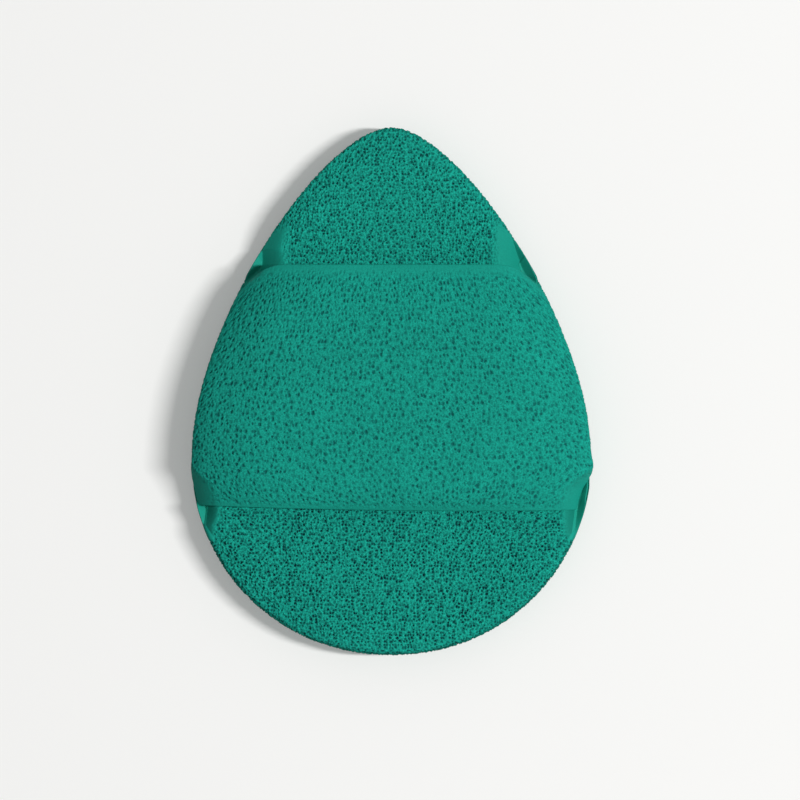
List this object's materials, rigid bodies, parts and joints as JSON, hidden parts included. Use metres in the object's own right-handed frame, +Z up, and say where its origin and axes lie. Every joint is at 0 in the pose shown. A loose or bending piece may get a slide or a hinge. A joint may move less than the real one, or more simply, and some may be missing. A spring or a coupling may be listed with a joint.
{
  "type": "makeup remover glove",
  "caption": "Teardrop foam sponge pad with an arched foam band bonded across its back as a finger pocket, held on the hand to wipe make-up off.",
  "frame": {"origin": "under the middle of the pad's length and width, on the surface that the cleansing face lies on", "axes": "+Y along the pad towards its tip, +X across the pad, +Z up through the finger pocket"},
  "size_m": [0.0834, 0.11, 0.0165],
  "materials": {
    "pad_foam": "matte",
    "band_foam": "matte",
    "bond_adhesive": "satin"
  },
  "bodies": {
    "pad": {"cleansing_pad": "pad_foam", "left_bond_line": "bond_adhesive", "right_bond_line": "bond_adhesive"},
    "band": {"pocket_band": "band_foam"}
  },
  "joints": [
    {"name": "band_lift", "type": "slide", "parent": "pad", "child": "band", "axis": [0, 0, 1], "range_m": [0, 0.01], "stiffness_N_per_m": 200}
  ]
}
